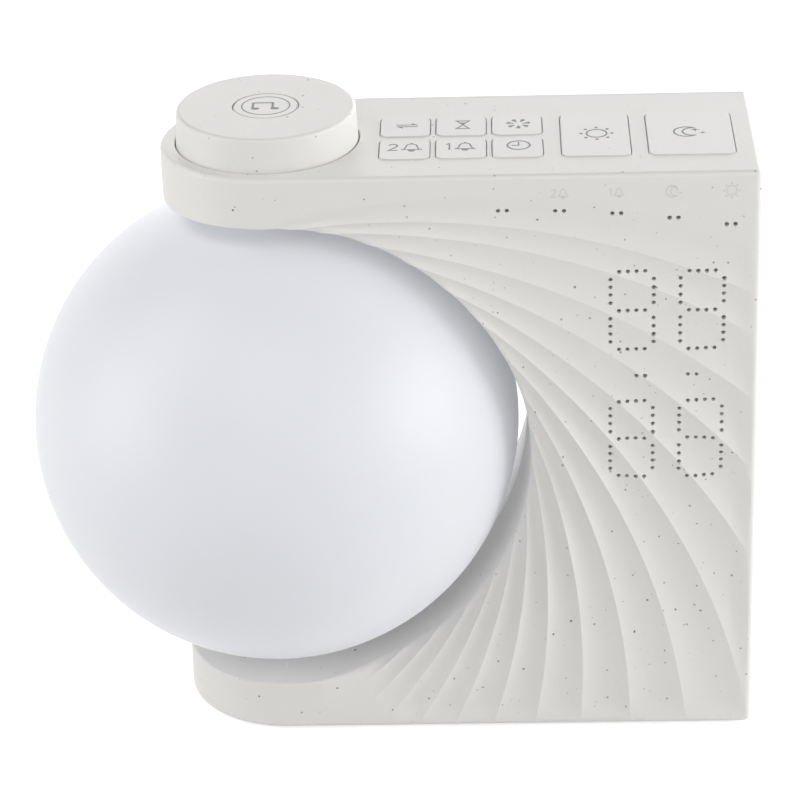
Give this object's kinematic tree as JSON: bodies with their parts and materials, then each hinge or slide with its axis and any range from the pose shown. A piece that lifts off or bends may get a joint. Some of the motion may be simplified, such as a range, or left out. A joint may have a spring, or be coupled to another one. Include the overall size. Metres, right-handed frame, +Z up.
{
  "type": "sunrise alarm clock",
  "caption": "Bedside wake-up light: a C-shaped fluted housing holds a frosted light globe, with a rotary knob and push keys on top and a dot display behind its front wall.",
  "frame": {"origin": "middle of the overall box in plan, on the surface the feet stand on", "axes": "+X towards the display side, away from the globe; +Y from the fluted front to the back; +Z up"},
  "size_m": [0.1768, 0.12, 0.1587],
  "materials": {
    "shell_white": "warm off-white with a fine satin grain",
    "knob_white": "warm off-white with a fine satin grain",
    "key_white": "warm off-white, satin",
    "collar_white": "white, satin",
    "globe_frost": "milky white light diffuser, smooth and slightly cool",
    "foot_rubber": "matte",
    "screw_steel": "zinc plated",
    "heatsink_aluminium": "bare",
    "lamp_board_white": "white solder mask",
    "led_yellow": "gloss",
    "film_grey": "smoked translucent film",
    "baffle_white": "matte",
    "board_green": "green solder mask",
    "switch_black": "matte",
    "chip_black": "matte",
    "socket_steel": "plated",
    "cell_steel": "plain",
    "gasket_black": "foam",
    "basket_grey": "satin black paint",
    "cone_black": "paper cone with a soft surround",
    "magnet_grey": "plated",
    "encoder_grey": "matte",
    "rotor_white": "white acetal"
  },
  "bodies": {
    "housing": {"front_shell": "shell_white", "rear_cover": "shell_white", "rubber_feet": "foot_rubber", "case_screws": "screw_steel", "globe": "globe_frost", "globe_collar": "collar_white", "lamp_heatsink": "heatsink_aluminium", "lamp_board": "lamp_board_white", "lamp_leds": "led_yellow", "diffuser_film": "film_grey", "light_baffle": "baffle_white", "display_leds": "led_yellow", "display_board": "board_green", "key_board": "board_green", "key_switches": "switch_black", "board_screws": "screw_steel", "main_board": "board_green", "main_board_parts": "chip_black", "power_socket": "socket_steel", "cell_holder": "switch_black", "backup_cell": "cell_steel", "speaker_gasket": "gasket_black", "speaker_frame": "basket_grey", "speaker_cone": "cone_black", "speaker_magnet": "magnet_grey", "encoder_body": "encoder_grey", "button_switch": "switch_black"},
    "knob": {"knob": "knob_white", "encoder_rotor": "rotor_white"},
    "knob_button": {"knob_button": "key_white"},
    "key_mode": {"key_mode": "key_white"},
    "key_timer": {"key_timer": "key_white"},
    "key_colour": {"key_colour": "key_white"},
    "key_alarm_two": {"key_alarm_two": "key_white"},
    "key_alarm_one": {"key_alarm_one": "key_white"},
    "key_clock": {"key_clock": "key_white"},
    "key_light": {"key_light": "key_white"},
    "key_snooze": {"key_snooze": "key_white"}
  },
  "joints": [
    {"name": "knob_turn", "type": "hinge", "parent": "housing", "child": "knob", "pos_m": [-0.02765, 0, 0.155], "axis": [0, 0, 1], "continuous": true},
    {"name": "knob_press", "type": "slide", "parent": "housing", "child": "knob_button", "axis": [0, 0, -1], "range_m": [0, 0.0006], "stiffness_N_per_m": 800},
    {"name": "mode_press", "type": "slide", "parent": "housing", "child": "key_mode", "axis": [0, 0, -1], "range_m": [0, 0.0005], "stiffness_N_per_m": 700},
    {"name": "timer_press", "type": "slide", "parent": "housing", "child": "key_timer", "axis": [0, 0, -1], "range_m": [0, 0.0005], "stiffness_N_per_m": 700},
    {"name": "colour_press", "type": "slide", "parent": "housing", "child": "key_colour", "axis": [0, 0, -1], "range_m": [0, 0.0005], "stiffness_N_per_m": 700},
    {"name": "alarm_two_press", "type": "slide", "parent": "housing", "child": "key_alarm_two", "axis": [0, 0, -1], "range_m": [0, 0.0005], "stiffness_N_per_m": 700},
    {"name": "alarm_one_press", "type": "slide", "parent": "housing", "child": "key_alarm_one", "axis": [0, 0, -1], "range_m": [0, 0.0005], "stiffness_N_per_m": 700},
    {"name": "clock_press", "type": "slide", "parent": "housing", "child": "key_clock", "axis": [0, 0, -1], "range_m": [0, 0.0005], "stiffness_N_per_m": 700},
    {"name": "light_press", "type": "slide", "parent": "housing", "child": "key_light", "axis": [0, 0, -1], "range_m": [0, 0.0005], "stiffness_N_per_m": 700},
    {"name": "snooze_press", "type": "slide", "parent": "housing", "child": "key_snooze", "axis": [0, 0, -1], "range_m": [0, 0.0005], "stiffness_N_per_m": 700}
  ]
}
